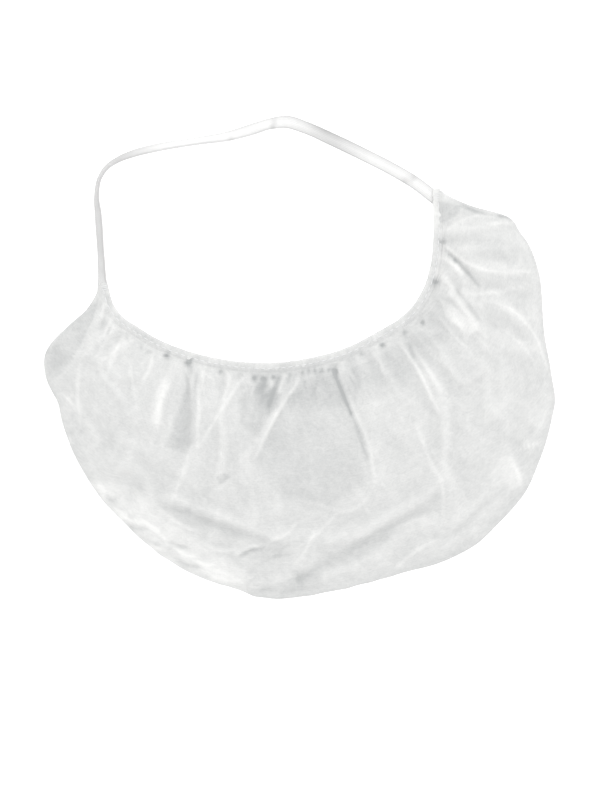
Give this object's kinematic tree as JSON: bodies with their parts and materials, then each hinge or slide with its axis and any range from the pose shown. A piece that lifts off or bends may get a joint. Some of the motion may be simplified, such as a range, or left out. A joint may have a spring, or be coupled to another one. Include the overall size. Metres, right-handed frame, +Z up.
{
  "type": "beard cover",
  "caption": "Gathered pouch of white non-woven cloth that covers a beard, hemmed over elastic at its mouth, with a flat elastic strap that loops over the head.",
  "frame": {"origin": "middle of the cover's plan, on the surface that it lies on", "axes": "+Z up from the surface, +Y from the pouch's bottom towards the mouth and the strap, +X to the right seen from above"},
  "size_m": [0.2532, 0.2416, 0.0304],
  "materials": {
    "nonwoven": "matt spunbonded non-woven, thin and slightly see-through",
    "hem_nonwoven": "matt spunbonded non-woven, folded double over elastic",
    "strap_elastic": "flat woven elastic with a slight sheen"
  },
  "bodies": {
    "root": {"pouch": "nonwoven", "front_hem": "hem_nonwoven", "back_hem": "hem_nonwoven", "strap": "strap_elastic"}
  },
  "joints": []
}
